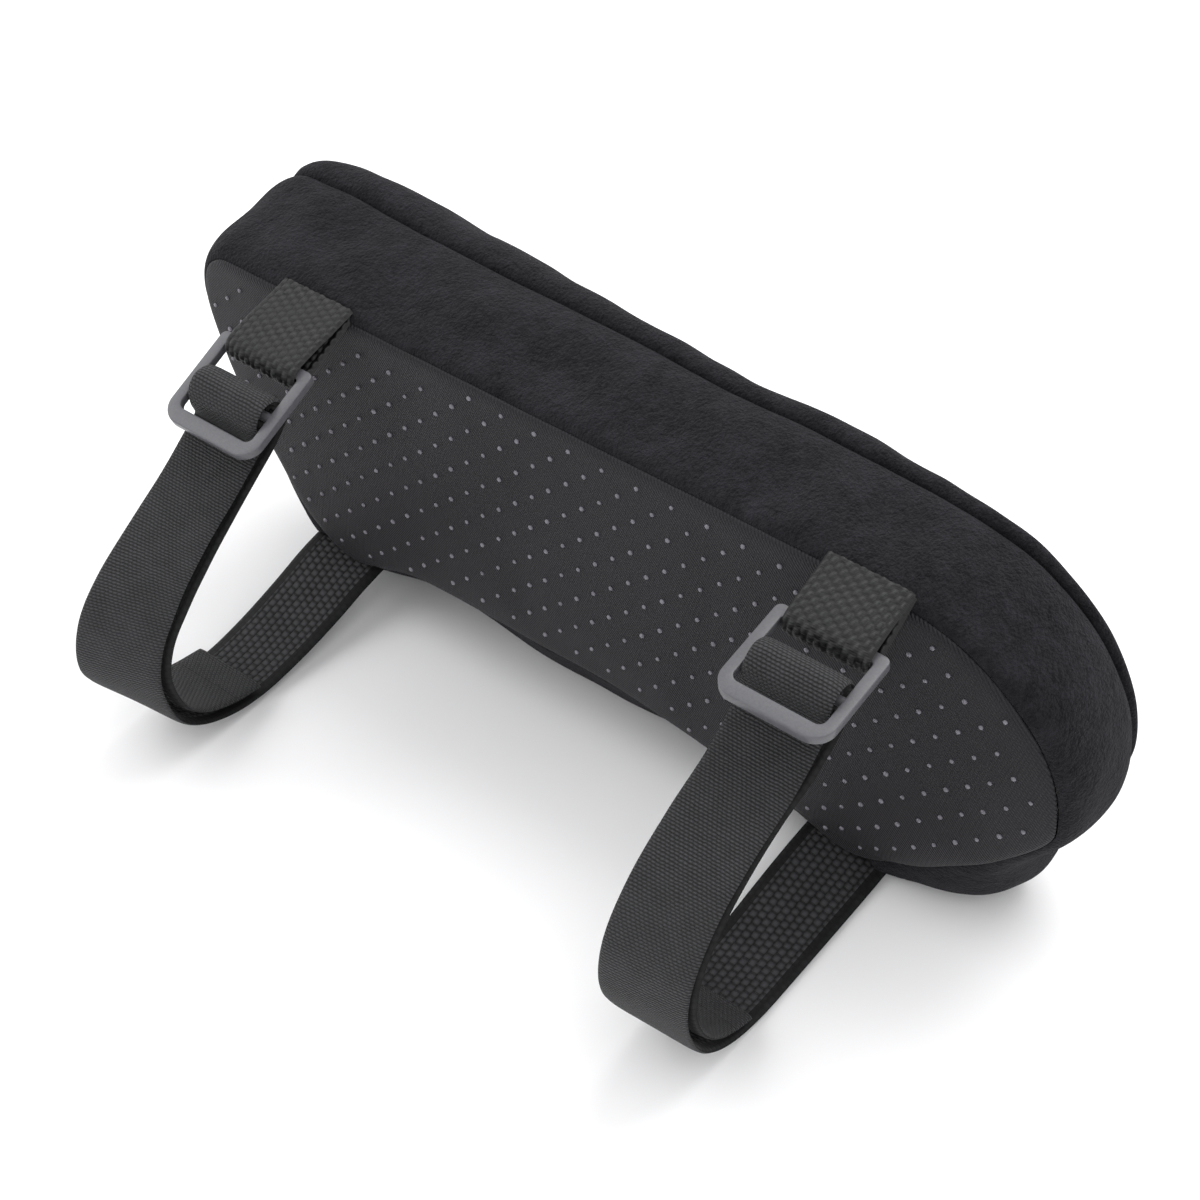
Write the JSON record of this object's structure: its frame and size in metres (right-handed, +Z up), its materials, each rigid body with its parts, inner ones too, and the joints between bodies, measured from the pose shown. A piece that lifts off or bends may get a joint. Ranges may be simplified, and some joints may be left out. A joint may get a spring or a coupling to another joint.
{
  "type": "chair armrest pad",
  "caption": "Foam armrest pad in a velour and dotted twill cover, held on by two elastic straps with sliding buckles.",
  "frame": {"origin": "middle of the footprint on the surface that the pad lies on, on one long side", "axes": "+X along the pad towards its rounded nose, +Y from the base panel towards the contact side, +Z up across the pad's width"},
  "size_m": [0.233, 0.1165, 0.091],
  "materials": {
    "memory_foam": "open-cell polyurethane foam, matt",
    "black_velour": "short-pile polyester velour, black",
    "black_twill": "black polyester twill",
    "grey_silicone": "printed silicone drops, glossy grey",
    "black_webbing": "coarse polypropylene webbing",
    "black_elastic": "ribbed elastic webbing",
    "grey_acetal": "moulded acetal, satin dark grey",
    "black_tape": "woven zip tape",
    "black_nylon": "nylon monofilament coil",
    "painted_zinc": "die-cast zinc, black paint"
  },
  "bodies": {
    "pad": {"foam_core": "memory_foam", "base_panel": "black_twill", "contact_panel": "black_velour", "side_band": "black_velour", "zip_strip_base_side": "black_velour", "zip_strip_contact_side": "black_velour", "grip_dots": "grey_silicone", "zip_tape_base_side": "black_tape", "zip_tape_contact_side": "black_tape", "zip_coil_base_side": "black_nylon", "zip_coil_contact_side": "black_nylon", "zip_end_stops": "painted_zinc", "webbing_tab_left": "black_webbing", "strap_floor_left": "black_elastic", "strap_front_left": "black_elastic", "strap_tail_left": "black_elastic", "webbing_tab_right": "black_webbing", "strap_floor_right": "black_elastic", "strap_front_right": "black_elastic", "strap_tail_right": "black_elastic"},
    "zip_slider": {"zip_slider": "painted_zinc"},
    "zip_pull": {"zip_pull": "painted_zinc"},
    "buckle_left": {"buckle_left": "grey_acetal", "strap_turn_left": "black_elastic"},
    "tail_end_left": {"strap_tail_end_left": "black_elastic"},
    "buckle_right": {"buckle_right": "grey_acetal", "strap_turn_right": "black_elastic"},
    "tail_end_right": {"strap_tail_end_right": "black_elastic"}
  },
  "joints": [
    {"name": "buckle_left_hinge", "type": "hinge", "parent": "pad", "child": "buckle_left", "pos_m": [-0.0788, -0.0026, 0.0826], "axis": [-1, 0, 0], "range_deg": [-25, 40], "deforming": ["strap_front_left", "strap_tail_left"]},
    {"name": "tail_left_slide", "type": "slide", "parent": "pad", "child": "tail_end_left", "axis": [0, 0.995, 0.0995], "range_m": [0, 0.022], "deforming": ["strap_tail_left"]},
    {"name": "buckle_right_hinge", "type": "hinge", "parent": "pad", "child": "buckle_right", "pos_m": [0.0638, 0.0016, 0.0819], "axis": [-1, 0, 0], "range_deg": [-25, 40], "deforming": ["strap_front_right", "strap_tail_right"]},
    {"name": "tail_right_slide", "type": "slide", "parent": "pad", "child": "tail_end_right", "axis": [0, 1, 0], "range_m": [0, 0.022], "deforming": ["strap_tail_right"]},
    {"name": "zip_slide", "type": "slide", "parent": "pad", "child": "zip_slider", "axis": [-1, 0, 0], "range_m": [0, 0.1]},
    {"name": "zip_pull_hinge", "type": "hinge", "parent": "zip_slider", "child": "zip_pull", "pos_m": [0.054, 0.0325, 0.0014], "axis": [0, -1, 0], "range_deg": [0, 150]}
  ]
}
